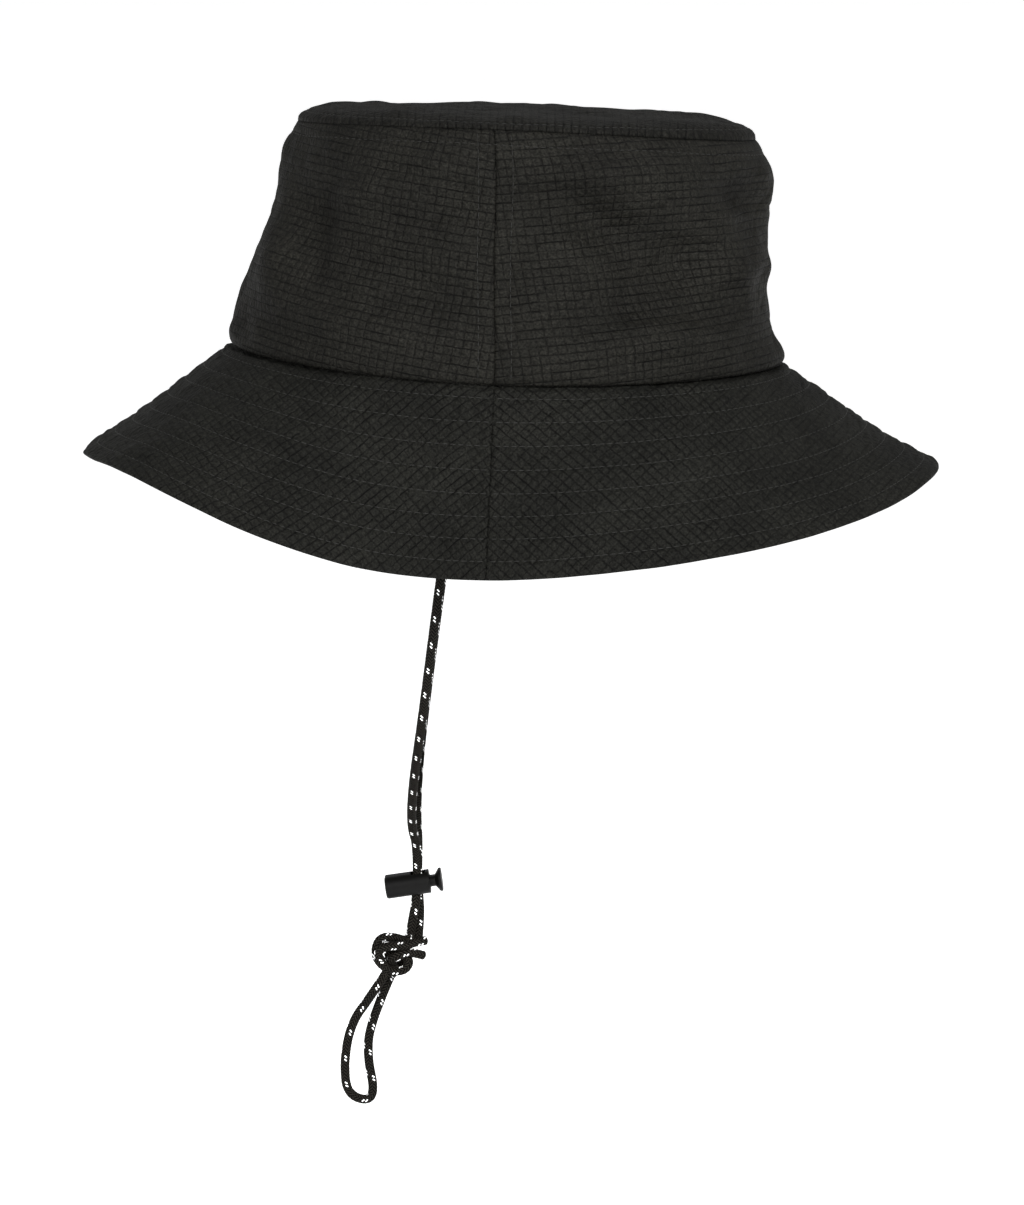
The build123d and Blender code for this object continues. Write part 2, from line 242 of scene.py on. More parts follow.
def steel(name):
    """Drawn spring wire."""
    s = Shade(name)
    place = s.millimetres()
    streak = s.noise(place, 0.3, 3.0)
    colour = s.mix(streak, (0.42, 0.42, 0.43, 1), (0.62, 0.62, 0.62, 1))
    height = s.math("MULTIPLY", streak, 0.01)
    s.shader.inputs["Metallic"].default_value = 1.0
    return s.finish(colour, s.ramp(streak, 0.3, 0.7, 0.22, 0.4), height, 0.5)


def thread(name, painted_shade_tone=1.0):
    """Twisted sewing thread."""
    s = Shade(name)
    place = s.millimetres()
    x, y, z = s.separate(place)
    along = s.math("ADD", s.math("ADD", x, y), z)
    twist = s.math("SINE", s.math("MULTIPLY", along, 2 * pi / 0.3))
    fuzz = s.noise(place, 0.4, 2.0)
    # A tone below 1 is painted shade: the same thread painted darker.
    low, high = ((value * painted_shade_tone, value * painted_shade_tone, value * painted_shade_tone * 0.93, 1) for value in (0.012, 0.028))
    colour = s.mix(fuzz, low, high)
    height = s.math("MULTIPLY_ADD", twist, 0.02, s.math("MULTIPLY", fuzz, 0.03))
    return s.finish(colour, s.ramp(fuzz, 0.3, 0.7, 0.4, 0.6), height, 0.15)


CROWN_CLOTH = ripstop("crown_ripstop", (0.0074, 0.0071, 0.0058), 1.1, 0.7, 1.0, 0.6)
# The tip panel is the crown's cloth with a darker tint: painted shade on the top of the hat.
TIP_CLOTH_PAINTED_SHADE = ripstop("tip_ripstop_painted_shade", (0.0052, 0.0050, 0.0041), 1.1, 0.7, 1.0, 0.6)
BRIM_CLOTH = ripstop("brim_ripstop", (0.0062, 0.0062, 0.0051), 1.2, 1.0, 0.6, 0.9)
BAND_CLOTH = tape_cloth("sweatband_knit", (0.016, 0.016, 0.017, 1), 0.9)
TAPE_CLOTH = tape_cloth("seam_tape", (0.014, 0.014, 0.015, 1), 0.6)
PAD_CLOTH = tape_cloth("interlining_felt", (0.03, 0.03, 0.03, 1), 1.6)
CORD_YARN = braided("braided_cord")
LOCK_PLASTIC = plastic("lock_plastic")
SPRING_STEEL = steel("spring_steel")
THREAD = thread("sewing_thread")
# The crown's stitches are the same thread painted darker: painted shade.
CROWN_THREAD_PAINTED_SHADE = thread("crown_thread_painted_shade", 0.8)

# --- shape of the hat -----------------------------------------------------------------------
# As in the CAD, but for the tip seam, which stands a little lower at the front and higher at
# the sides. t is the angle round the hat from its front, in radians.
OPENING_WIDE, OPENING_LONG, OPENING_SAG = 86, 103.5, 4.3  # half-axes, and the drop at the sides
OPENING_SKEW, TIP_SKEW = radians(2.0), radians(8.0)  # the side seams' lead over the middle
TIP_WIDE, TIP_LONG = 69, 86
BRIM_WIDTH, BRIM_THICKNESS = 71.5, 1.6
BRIM_TERMS = (50.6, -0.4, -18.3, 0.3, 3.4, 3.4)  # the slope in degrees, as a cosine series in t
WALL_RISE = 88  # about the crown wall's height
# How much of its lean toward the tip seam the wall has taken at these shares of its height.
WALL_HEIGHTS = (0.0, 0.25, 0.5, 0.8, 1.0)
FRONT_LEAN = np.polyfit(WALL_HEIGHTS, (0.0, 0.13, 0.50, 0.80, 1.0), 4)
BACK_LEAN = np.polyfit(WALL_HEIGHTS, (0.0, 0.26, 0.45, 0.40, 1.0), 4)
TIP_CENTRE = np.array((0.0, 4.8, 85.0))
TIP_CREST = 91.3


def smooth(x, low, high):
    """0 below low, 1 above high, and an even S between them."""
    x = np.clip((x - low) / (high - low), 0, 1)
    return x * x * (3 - 2 * x)


def opening(t):
    """The crown-to-brim seam."""
    a = t - OPENING_SKEW * np.sin(t)
    sag = -OPENING_SAG * np.sin(t) ** 2
    return np.stack((OPENING_WIDE * np.sin(a), -OPENING_LONG * np.cos(a), sag), -1)


def outward(t):
    """Level directions square to the crown-to-brim seam."""
    a = t - OPENING_SKEW * np.sin(t)
    away = np.stack((OPENING_LONG * np.sin(a), -OPENING_WIDE * np.cos(a), 0 * a), -1)
    return away / np.linalg.norm(away, axis=-1, keepdims=True)


def tip_seam(t):
    """The seam of the tip panel and the crown wall."""
    a = t - TIP_SKEW * np.sin(t)
    height = 86.6 + 0.6 * np.cos(a) - 2.6 * np.cos(a) ** 2
    return np.stack((TIP_WIDE * np.sin(a), TIP_CENTRE[1] - TIP_LONG * np.cos(a), height), -1)


def wall(t, h):
    """The crown wall; h is the share of its height."""
    front = (1 + np.cos(t)) / 2
    lean = np.polyval(FRONT_LEAN, h) * front + np.polyval(BACK_LEAN, h) * (1 - front)
    low, high = opening(t), tip_seam(t)
    share = np.stack((lean, lean, h), -1)
    return low + (high - low) * share


def brim(t, s):
    """The brim's top face: s millimetres out from the seam, a little short at the front."""
    s = s * (1 - 0.035 * smooth(np.cos(t), 0.75, 1))
    slope = np.radians(sum(size * np.cos(k * t) for k, size in enumerate(BRIM_TERMS)))
    run = outward(t) * (s * np.cos(slope))[..., None]
    return opening(t) + run - np.stack((0 * s, 0 * s, s * np.sin(slope)), -1)


def cap_profile(rho):
    """Share of the tip panel's height kept at a share of the way out to its seam."""
    return np.maximum(0, 1 - rho**9) ** 0.5


def tip_cap(t, rho):
    """The tip panel: rho is 0 at its middle and 1 at its seam."""
    rim = tip_seam(t)
    place = TIP_CENTRE + (rim - TIP_CENTRE) * rho[..., None]
    place[..., 2] = TIP_CREST + (rim[..., 2] - TIP_CREST) * (1 - cap_profile(rho))
    return place


# --- folds and crinkles -------------------------------------------------------------------
def rough(x, y, size, seed):
    """Smooth random heights, -1 to 1, over cells of this size."""
    rows, columns = 61, 67
    grid = np.random.default_rng(seed).uniform(-1, 1, (rows, columns))
    u, v = x / size + 500, y / size + 500
    i, j = np.floor(u).astype(int), np.floor(v).astype(int)
    p, q = smooth(u - i, 0, 1), smooth(v - j, 0, 1)
    k, m = (i + 1) % rows, (j + 1) % columns
    i, j = i % rows, j % columns
    a, b, c, d = grid[i, j], grid[k, j], grid[i, m], grid[k, m]
    return (a * (1 - p) + b * p) * (1 - q) + (c * (1 - p) + d * p) * q


def crease(x, y, size, seed):
    """Sharp random creases: 1 along each of them, down to -1 between them."""
    return 1 - np.abs(rough(x, y, size, seed)) * 2


def grid_normals(points):
    """Unit normals of a grid of points, as the cross product of its two directions."""
    du, dv = np.gradient(points, axis=0), np.gradient(points, axis=1)
    normal = np.cross(du, dv)
    length = np.linalg.norm(normal, axis=-1, keepdims=True)
    return normal / np.maximum(length, 1e-9)


# Hollows (negative) and swells of the crown's left side: y, z, half-widths along and
# across, lean of the long axis in degrees, share of FOLD_DEPTH.
CROWN_FOLDS = (
    (-72, 50, 16, 7, 70, -2.6),
    (-84, 30, 14, 8, 80, 1.6),
    (-55, 62, 18, 7, 20, 1.2),
    (-30, 30, 26, 9, -18, -1.3),
    (12, 30, 20, 13, 10, 1.9),
    (-5, 62, 24, 8, 12, -1.2),
    (38, 52, 26, 9, -24, -2.6),
    (60, 38, 20, 9, 30, -2.2),
    (50, 12, 26, 7, 4, 1.8),
    (86, 64, 14, 6, -40, -2.4),
    (84, 38, 10, 8, 0, 1.5),
    (30, 72, 20, 5, 0, 1.2),
    (-60, 14, 24, 6, -6, 1.4),
)

# Patches of the same side that are finely pleated: y, z, half-widths.
CROWN_PLEATS = ((-60, 42, 30, 16), (80, 56, 20, 20), (66, 14, 24, 12), (-20, 68, 40, 10))
GIRTH, TIP_GIRTH = 95, 78  # radii that turn an angle into a length round the crown, low and high
FOLD_DEPTH, PLEAT_DEPTH = 2.9, 1.1
TIP_ROW, SIDE_ROW = 5.0, 5.4  # from a seam to the row of stitches beside it


def whole_turn(shift, t, *rest):
    """The same shift, closed up where one turn of the hat ends at the right side seam."""
    t = (t + pi / 2) % (2 * pi) - pi / 2
    late = smooth(t, 4.2, 3 * pi / 2)
    return shift(t, *rest) * (1 - late) + shift(t - 2 * pi, *rest) * late


def groove(distance, width):
    """1 where the distance is 0, fading to nothing within about twice the width."""
    return np.exp(-((distance / width) ** 2))


def crown_shift(t, h):
    """How far the crown wall stands off its plain shape, in millimetres."""
    return whole_turn(crown_folds, t, h, wall(t, h))


def crown_folds(t, h, points):
    x, y, z = points[..., 0], points[..., 1], points[..., 2]
    girth, rise = t * GIRTH, h * WALL_RISE
    below_tip = WALL_RISE - rise
    shift = 2.0 * rough(girth, rise, 42, 3)
    shift = shift + 1.4 * rough(girth + rise * 0.6, rise - girth * 0.2, 17, 4)
    creased = np.maximum(0, crease(girth - rise, rise, 11, 6))
    shift += 0.4 * rough(girth, rise, 7.5, 5) - 0.45 * creased
    shift += 0.35 * rough(girth * 0.3, rise, 4.5, 9) * smooth(rough(girth, rise, 30, 10), -0.1, 0.5)
    left = smooth(x, -5, 25)
    for fy, fz, long, short, lean, depth in CROWN_FOLDS:
        c, s = cos(radians(lean)), sin(radians(lean))
        u, v = (y - fy) * c + (z - fz) * s, (z - fz) * c - (y - fy) * s
        shift += FOLD_DEPTH * left * depth * np.exp(-((u / long) ** 2) - (v / short) ** 2)
    for fy, fz, long, short in CROWN_PLEATS:
        near = np.exp(-(((y - fy) / long) ** 2) - ((z - fz) / short) ** 2)
        shift += PLEAT_DEPTH * left * near * rough(girth * 0.2, rise, 4.0, 61)
    # The seams at the top and bottom pucker the cloth and hold it in place.
    pucker = 0.5 * rough(girth, rise * 0.25, 5.5, 7)
    shift += pucker * (np.exp(-rise / 9) + np.exp(-below_tip / 9))
    shift *= smooth(rise, 0, 12) * smooth(below_tip, 0, 12)
    from_side_seam = np.abs(np.cos(t)) * GIRTH
    shift *= 0.35 + 0.65 * smooth(from_side_seam, 0, 16)
    ripple = 0.45 * np.sin(rise / 3.1 + 1.2 * rough(girth, rise, 9, 8))
    shift += ripple * np.exp(-from_side_seam / 7)
    puff = 1.3 - 0.7 * np.cos(t)
    shift += puff * groove(rise - 5, 6) - 0.6 * groove(rise, 1.0)
    shift -= 0.6 * np.cos(t) ** 2 * groove(rise - 79, 9)
    shift -= 1.3 * np.maximum(np.cos(t), 0) * groove(rise - 16, 10)
    shift -= 0.2 * groove(below_tip, 0.9) + 0.7 * groove(from_side_seam, 0.5)
    shift -= 0.35 * groove(from_side_seam - SIDE_ROW, 0.8)
    return shift - 0.35 * groove(below_tip - TIP_ROW, 0.8)


BRIM_ROWS = (4.8, 13.6, 22.4, 31.2, 39.9, 48.3, 56.5, 64.7)  # from the crown out
BRIM_ROLL = 1.4  # width of the rolled outer edge


def brim_shift(t, s):
    """The brim's own waves, shared by all its layers, in millimetres."""
    return whole_turn(brim_waves, t, s)


def brim_waves(t, s):
    girth = t * 110
    front, behind = smooth(np.cos(t), 0.55, 1), smooth(-np.cos(t), 0.6, 1)
    shift = 1.1 * rough(girth, s * 0.3, 48, 11) + 0.5 * rough(girth, s * 0.5, 19, 12)
    shift = smooth(s, 4, 40) * shift
    shift += front * (0.7 * smooth(s, 0, 22) + 1.2 * smooth(s, 45, 71))
    shift -= 1.6 * groove(np.arccos(np.cos(t)) - 2.65, 0.25) * smooth(s, 30, 71)
    shift += behind * (2.6 * smooth(s, 48, 71) - 0.8 * groove(s - 34, 16))
    return shift + 0.25 * rough(girth + s, s - girth * 0.3, 8, 13) * smooth(s, 1, 8)


def quilting(t, s, seed):
    """How much a brim face sinks at its stitch rows and crinkles between them."""
    return whole_turn(quilted, t, s, seed)


def quilted(t, s, seed):
    girth = t * (GIRTH + s)
    dip = np.minimum(sum(groove(s - row, 0.9) for row in BRIM_ROWS), 1)
    creased = np.maximum(0, crease(girth, s, 6.5, seed + 2))
    bubble = 0.30 * rough(girth + 0.8 * s, s - 0.5 * girth, 4.2, seed)
    bubble += 0.30 * rough(girth, s, 9.0, seed + 1) - 0.25 * creased
    from_side_seam = np.abs(np.cos(t)) * (GIRTH + s)
    bubble *= smooth(from_side_seam, 0, 3)
    sunk = bubble * (1 - 0.8 * dip) - 0.55 * dip
    return np.maximum(sunk, -0.5) - 0.5 * groove(from_side_seam, 0.5)


def brim_face(t, s, depth, seed):
    """A face of the brim at a depth below its top, rolled over at the outer edge."""
    base = brim(t, s)
    normal = grid_normals(base)
    middle = base + normal * (brim_shift(t, s) - BRIM_THICKNESS / 2)[..., None]
    into_roll = np.maximum(0, s - BRIM_WIDTH + BRIM_ROLL) / BRIM_ROLL
    roll = np.sqrt(np.clip(1 - into_roll**2, 0, 1))
    outer = BRIM_THICKNESS / 2 - depth
    swell = quilting(t, s, seed) * (1 if outer > 0 else -1) * smooth(BRIM_WIDTH - s, 0, 2.5)
    lip = smooth(2.2 - s, 0, 2.2) * (1 if outer > 0 else 0)
    return middle + normal * (outer * (0.25 + 0.75 * roll) + swell - 1.1 * lip)[..., None]


# --- mesh makers --------------------------------------------------------------------------
def add_mesh(name, points, faces, material):
    mesh = bpy.data.meshes.new(name)
    mesh.from_pydata((np.asarray(points) * MM).tolist(), [], faces)
    mesh.materials.append(material)
    mesh.polygons.foreach_set("use_smooth", [True] * len(mesh.polygons))
    obj = bpy.data.objects.new(name, mesh)
    scene.collection.objects.link(obj)
    return obj


def grid_faces(rows, columns, closed_rows=False, closed_columns=False):
    """Quads over a grid of points; a closed direction joins its last line to its first."""
    i = np.arange(rows if closed_rows else rows - 1)
    j = np.arange(columns if closed_columns else columns - 1)
    i, j = np.meshgrid(i, j, indexing="ij")
    k, m = (i + 1) % rows, (j + 1) % columns
    quads = np.stack((i * columns + j, k * columns + j, k * columns + m, i * columns + m), -1)
    return quads.reshape(-1, 4).tolist()


def cloth(name, points, cut, material, thickness, closed=False):
    """A sheet over a grid of points; its thickness lies behind the face."""
    rows, columns = points.shape[:2]
    obj = add_mesh(name, points.reshape(-1, 3), grid_faces(rows, columns, closed), material)
    flat = np.zeros((rows * columns, 3))
    flat[:, : cut.shape[-1]] = cut.reshape(rows * columns, -1) * MM
    layer = obj.data.attributes.new("cut", "FLOAT_VECTOR", "POINT")
    layer.data.foreach_set("vector", flat.ravel())
    solid = obj.modifiers.new("thickness", "SOLIDIFY")
    solid.thickness = thickness * MM
    solid.offset = -1.0
    return obj


THREAD_RADIUS, STITCH_SHARE = 0.17, 0.78  # a stitch fills this share of its pitch
STITCH_BOW, STITCH_SINK = 0.16, 0.06


def stitches(name, lines, pitch, material):
    """Rows of stitches: each line is (points, normals), and each stitch lies on its surface."""
    around, rings = 6, 5
    places = []
    for points, normals in lines:
        steps = np.linalg.norm(np.diff(points, axis=0), axis=1)
        length = np.concatenate(([0], np.cumsum(steps)))
        count = int(length[-1] / pitch)
        middle = (np.arange(count) + 0.5) * length[-1] / count
        ends = [middle + side * pitch * STITCH_SHARE / 2 for side in (-1, 1)]
        at = [np.stack([np.interp(e, length, points[:, k]) for k in range(3)], -1) for e in ends]
        n = np.stack([np.interp(middle, length, normals[:, k]) for k in range(3)], -1)
        places.append((at[0], at[1], n))
    start, end, n = (np.concatenate([p[k] for p in places]) for k in range(3))
    along = (end - start) / np.linalg.norm(end - start, axis=1, keepdims=True)
    side = np.cross(n, along)
    verts = []
    for share_along in np.linspace(0, 1, rings):
        bow = 1 - (2 * share_along - 1) ** 2
        centre = start + (end - start) * share_along + n * (STITCH_BOW * bow - STITCH_SINK)
        r = THREAD_RADIUS * (0.45 + 0.55 * bow**0.5)
        for angle in np.linspace(0, 2 * pi, around, endpoint=False):
            verts.append(centre + side * r * cos(angle) + n * r * sin(angle))
    verts = np.stack(verts, 1).reshape(-1, 3)
    first = np.arange(len(start))[:, None] * rings * around
    a, b = np.divmod(np.arange((rings - 1) * around), around)
    ahead = (b + 1) % around
    corners = (a * around + b, a * around + ahead, (a + 1) * around + ahead, (a + 1) * around + b)
    faces = (np.stack(corners, -1)[None] + first[..., None]).reshape(-1, 4).tolist()
    faces += (first + np.arange(around)[::-1]).tolist()
    faces += (first + (rings - 1) * around + np.arange(around)).tolist()
    return add_mesh(name, verts, faces, material)


# --- cords --------------------------------------------------------------------------------
LEFT_ROUTE = (
    (80.9, -13.9, -19.3), (82.0, -17.5, -45.0), (79.5, -21.8, -88.0), (66.0, -25.6, -129.0),
    (41.0, -29.0, -160.0), (17.5, -29.5, -180.0), (1.8, -27.0, -190.0), (1.8, -26.7, -204.8),
)
RIGHT_ROUTE = (
    (-80.9, -13.9, -19.3), (-82.0, -17.0, -47.0), (-80.0, -21.4, -90.0), (-67.0, -25.4, -130.0),
    (-41.5, -28.2, -162.0), (-18.0, -28.2, -181.0), (-1.8, -26.7, -189.5), (-1.8, -26.7, -204.8),
)
LOOP_ROUTE = (
    (2.0, -36.5, -238.5), (2.2, -43.4, -250.0), (2.2, -49.9, -259.5), (2.0, -52.5, -274.0),
    (1.4, -51.0, -289.0), (-1.4, -39.4, -291.4), (-2.0, -44.4, -271.0), (-2.2, -41.3, -256.0),
    (-2.0, -34.8, -239.5),
)
CORD_RADIUS, KNOT_CORD_RADIUS = 1.75, 1.7  # the cord is pulled a little thinner in the knot
BRAID_YARNS, BRAID_PITCH = 8, 1.29
YARN_SINK, YARN_RISE = 0.24, 0.27  # the braid's gaps below the cord's radius, and its relief
TUBE_POINTS, TUBE_STEP = 48, 0.22  # points round a tube, and millimetres between its rings
CUT_ROUNDING = 1.1


def spline_points(route):
    """Points of the route's NURBS, in millimetres."""
    curve = bpy.data.curves.new("route", "CURVE")
    curve.dimensions = "3D"
    curve.resolution_u = 32
    spline = curve.splines.new("NURBS")
    spline.points.add(len(route) - 1)
    for point, place in zip(spline.points, route):
        point.co = (*(Vector(place) * MM), 1)
    spline.order_u = 3
    spline.use_endpoint_u = True
    holder = bpy.data.objects.new("route", curve)
    mesh = bpy.data.meshes.new_from_object(holder)
    points = np.array([v.co for v in mesh.vertices]) / MM
    bpy.data.meshes.remove(mesh)
    bpy.data.objects.remove(holder)
    bpy.data.curves.remove(curve)
    return points


def evenly(points, step):
    """The line's points at even steps, and their distances along it."""
    steps = np.linalg.norm(np.diff(points, axis=0), axis=1)
    points = points[np.concatenate(([True], steps > 1e-6))]
    length = np.concatenate(([0], np.cumsum(np.linalg.norm(np.diff(points, axis=0), axis=1))))
    at = np.linspace(0, length[-1], int(length[-1] / step) + 1)
    return np.stack([np.interp(at, length, points[:, k]) for k in range(3)], -1), at


def braid(turn, along):
    """A braid of 16 yarns, two over two: relief, tracer, and 0 in its gaps to 1 on a yarn."""
    u = BRAID_YARNS * turn + along / BRAID_PITCH
    v = BRAID_YARNS * turn - along / BRAID_PITCH
    iu, iv = np.floor(u).astype(int), np.floor(v).astype(int)
    upper = (iu + iv) % 4 < 2
    across = np.where(upper, u - iu, v - iv)
    ridge = np.sin(pi * across)
    run = (iu + iv) % 4 + v - iv
    tracer = upper & (iu % BRAID_YARNS < 2) & (np.abs(run - 1) < 0.62) & (ridge > 0.4)
    return ridge**0.6, tracer.astype(float), ridge


def tube_faces(rings, around):
    """Faces of a tube with flat ends."""
    last = (rings - 1) * around
    ends = [list(range(around)), [last + k for k in range(around)][::-1]]
    return grid_faces(rings, around, False, True) + ends


def tube_part(points, phase, radius=CORD_RADIUS, cut_end=False):
    """Vertices, faces and braid values of a tube that follows these points."""
    path, at = evenly(points, TUBE_STEP)
    heading = np.gradient(path, axis=0)
    heading /= np.linalg.norm(heading, axis=1, keepdims=True)
    side = np.cross(heading[0], (0.3, 1.0, 0.2))
    sides = []
    for direction in heading:
        side = side - direction * np.dot(side, direction)
        side = side / np.linalg.norm(side)
        sides.append(side)
    sides = np.array(sides)
    other = np.cross(heading, sides)
    turn = np.arange(TUBE_POINTS) / TUBE_POINTS
    relief, fleck, valley = braid(turn[None] + phase, at[:, None])
    r = radius - YARN_SINK + YARN_RISE * relief
    if cut_end:
        from_end = np.minimum((at[-1] - at) / CUT_ROUNDING, 1)
        r *= np.sqrt(np.clip(1 - (1 - from_end) ** 2, 0.02, 1))[:, None]
    angle = 2 * pi * turn
    verts = path[:, None] + sides[:, None] * (r * np.cos(angle))[..., None]
    verts = verts + other[:, None] * (r * np.sin(angle))[..., None]
    return verts.reshape(-1, 3), tube_faces(len(at), TUBE_POINTS), fleck.ravel(), valley.ravel()


def cord_piece(name, parts):
    """One piece made of several tubes."""
    verts, faces, flecks, valleys, start = [], [], [], [], 0
    for part in parts:
        verts.append(part[0])
        faces += [[k + start for k in face] for face in part[1]]
        flecks.append(part[2])
        valleys.append(part[3])
        start += len(part[0])
    obj = add_mesh(name, np.concatenate(verts), faces, CORD_YARN)
    for key, values in (("fleck", flecks), ("valley", valleys)):
        layer = obj.data.attributes.new(key, "FLOAT", "POINT")
        layer.data.foreach_set("value", np.concatenate(values))
    return obj


left_line, right_line = spline_points(LEFT_ROUTE), spline_points(RIGHT_ROUTE)
loop_line = spline_points(LOOP_ROUTE)
left_run = cord_piece("chin_cord_left_run_braid", [tube_part(left_line, 0.12)])
right_run = cord_piece("chin_cord_right_run_braid", [tube_part(right_line, 0.55)])
pull_loop = cord_piece("pull_loop_braid", [tube_part(loop_line, 0.42)])

BELOW_LEFT = (
    (1.8, -26.7, -204.8), (1.8, -26.9, -212.0), (1.5, -28.0, -219.0), (1.0, -28.9, -226.0),
)
BELOW_RIGHT = (
    (-1.8, -26.7, -204.8), (-1.8, -25.6, -212.0), (-1.5, -25.3, -219.0), (-0.8, -25.6, -226.0),
)
below = cord_piece(
    "chin_cord_below_lock_braid",
    [tube_part(spline_points(BELOW_LEFT), 0.2), tube_part(spline_points(BELOW_RIGHT), 0.7)],
)

# The knot: the two chin cords and the pull loop's two ends, which come out as cut tails.
KNOT_STRANDS = (
    ((1.0, -28.7, -224.0), (2.0, -29.0, -228.0), (0.5, -34.0, -226.3), (1.2, -39.8, -226.2),
     (1.6, -42.0, -230.5), (1.8, -41.0, -235.6), (3.4, -36.0, -238.9), (4.6, -30.6, -238.6),
     (4.0, -28.2, -235.0), (2.6, -31.0, -232.2), (1.6, -37.6, -232.4)),
    ((-0.8, -25.5, -224.0), (-2.0, -26.6, -228.2), (-3.0, -34.0, -227.6), (-2.4, -39.4, -226.8),
     (-2.0, -41.8, -231.0), (-2.6, -40.0, -236.6), (-4.4, -34.0, -239.2), (-4.8, -29.4, -236.4),
     (-4.4, -29.0, -231.6), (-1.5, -32.5, -233.0), (-0.6, -38.0, -234.6)),
    ((2.0, -37.0, -241.5), (2.6, -37.0, -237.6), (4.4, -40.6, -234.6), (5.2, -40.6, -230.4),
     (5.8, -36.6, -228.6), (6.0, -31.0, -228.6), (5.6, -26.6, -226.8), (5.4, -21.8, -226.0)),
    ((-2.0, -35.0, -241.5), (-0.6, -34.4, -238.0), (3.0, -36.2, -234.8), (5.0, -33.4, -232.4),
     (5.0, -29.4, -231.0), (4.4, -26.6, -231.4), (4.2, -22.4, -232.4)),
)
knot = cord_piece(
    "cord_knot_wound",
    [
        tube_part(spline_points(strand), 0.37 * k, KNOT_CORD_RADIUS, cut_end=k > 1)
        for k, strand in enumerate(KNOT_STRANDS)
    ],
)

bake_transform(left_run)
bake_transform(right_run)
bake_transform(below)
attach(knot, "chin_cord")
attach(pull_loop, "chin_cord")
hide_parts("chin_cord_left_run")
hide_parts("chin_cord_right_run")
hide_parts("chin_cord_below_lock")
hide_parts("cord_knot")
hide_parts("pull_loop")

# --- crown --------------------------------------------------------------------------------
QUARTER_TURN = pi / 2
CLOTH_THICKNESS = 0.4
TIP_RADIUS, TIP_DOME = 77, 4.5  # the tip panel's mean size, and how far it domes


def half_grid(middle, columns, values):
    """Angles over one half of the hat, closer at its side seams, crossed with values."""
    edge = np.array((0.0, 0.003, 0.006, 0.010, 0.015, 0.021))
    t = np.concatenate((edge, np.linspace(0.029, pi - 0.029, columns), pi - edge[::-1]))
    t = t + middle - QUARTER_TURN
    return np.meshgrid(t, values, indexing="ij")


def wall_sheet(t, h, inset, shift):
    """The crown wall, moved out by the shift and in by the inset."""
    base = wall(t, h)
    return base + grid_normals(base) * (shift - inset)[..., None]


def wall_cut(t, h, middle):
    """A crown side laid flat as a curved cut, which places the grid of its cloth."""
    turn = t - middle
    height = WALL_RISE * h + 10 * (1 - np.cos(turn)) + 37 * middle
    return np.stack((turn * (90 - 9 * h), height), -1)


for name, middle in (("crown_side_front", 0.0), ("crown_side_back", pi)):
    t, h = half_grid(middle, 301, np.linspace(0, 1, 95))
    points = wall_sheet(t, h, 0, crown_shift(t, h))
    piece = cloth(name + "_cloth", points, wall_cut(t, h, middle), CROWN_CLOTH, CLOTH_THICKNESS)
    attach(piece, "hat")
    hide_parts(name)

# The tip panel's rings are even along its domed profile.
rho = np.linspace(0, 1, 4001)
steps = np.hypot(np.diff(rho) * TIP_RADIUS, np.diff(cap_profile(rho)) * TIP_DOME)
arc = np.concatenate(([0], np.cumsum(steps)))
rho = np.interp(np.linspace(0.012, 1, 80) * arc[-1], arc, rho)
t, rho = np.meshgrid(np.linspace(0, 2 * pi, 361)[:-1], rho[::-1], indexing="ij")
base = tip_cap(t, rho)
normals = grid_normals(np.concatenate((base[-1:], base, base[:1])))[1:-1]
x, y = base[..., 0], base[..., 1]
inward = (1 - rho) * TIP_RADIUS + TIP_DOME * cap_profile(rho)
shift = 1.1 * rough(x, y, 36, 21) + 0.6 * rough(x + y, y - x, 15, 22) + 0.3 * rough(x, y, 7, 23)
shift -= 0.4 * np.maximum(0, crease(x + 0.5 * y, y, 13, 24))
shift *= smooth(inward, 0, 14)
pucker = 0.35 * rough(np.abs(t - pi) * TIP_GIRTH, inward * 0.2, 5, 25)
shift += pucker * np.exp(-inward / 8) * smooth(inward, 0, 3)
shift -= 0.2 * groove(inward, 0.9) + 0.35 * groove(inward - TIP_ROW, 0.8)
points = base + normals * shift[..., None]
flat_cut = np.stack((x, y + 300), -1)
tip = cloth("crown_tip_cloth", points, flat_cut, TIP_CLOTH_PAINTED_SHADE, CLOTH_THICKNESS, closed=True)
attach(tip, "hat")
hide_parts("crown_tip")
tip_points, tip_normals, tip_inward = points, normals, inward

# --- brim ---------------------------------------------------------------------------------
BRIM_CUT_RADIUS, BRIM_CUT_TURN = 162.5, radians(52.9)  # half of the brim, laid flat
FELT_DEPTH = 0.74  # from the brim's top face to the interlining
BRIM_LAYERS = (("brim_top", 0.0, 31), ("brim_under", BRIM_THICKNESS, 41))


def brim_cut(t, s, middle):
    """A brim half laid flat as a curved cut, which places the grid of its cloth."""
    radius, angle = BRIM_CUT_RADIUS + s, (t - middle) / QUARTER_TURN * BRIM_CUT_TURN
    return np.stack((radius * np.sin(angle), radius * np.cos(angle) + 91 * middle), -1)


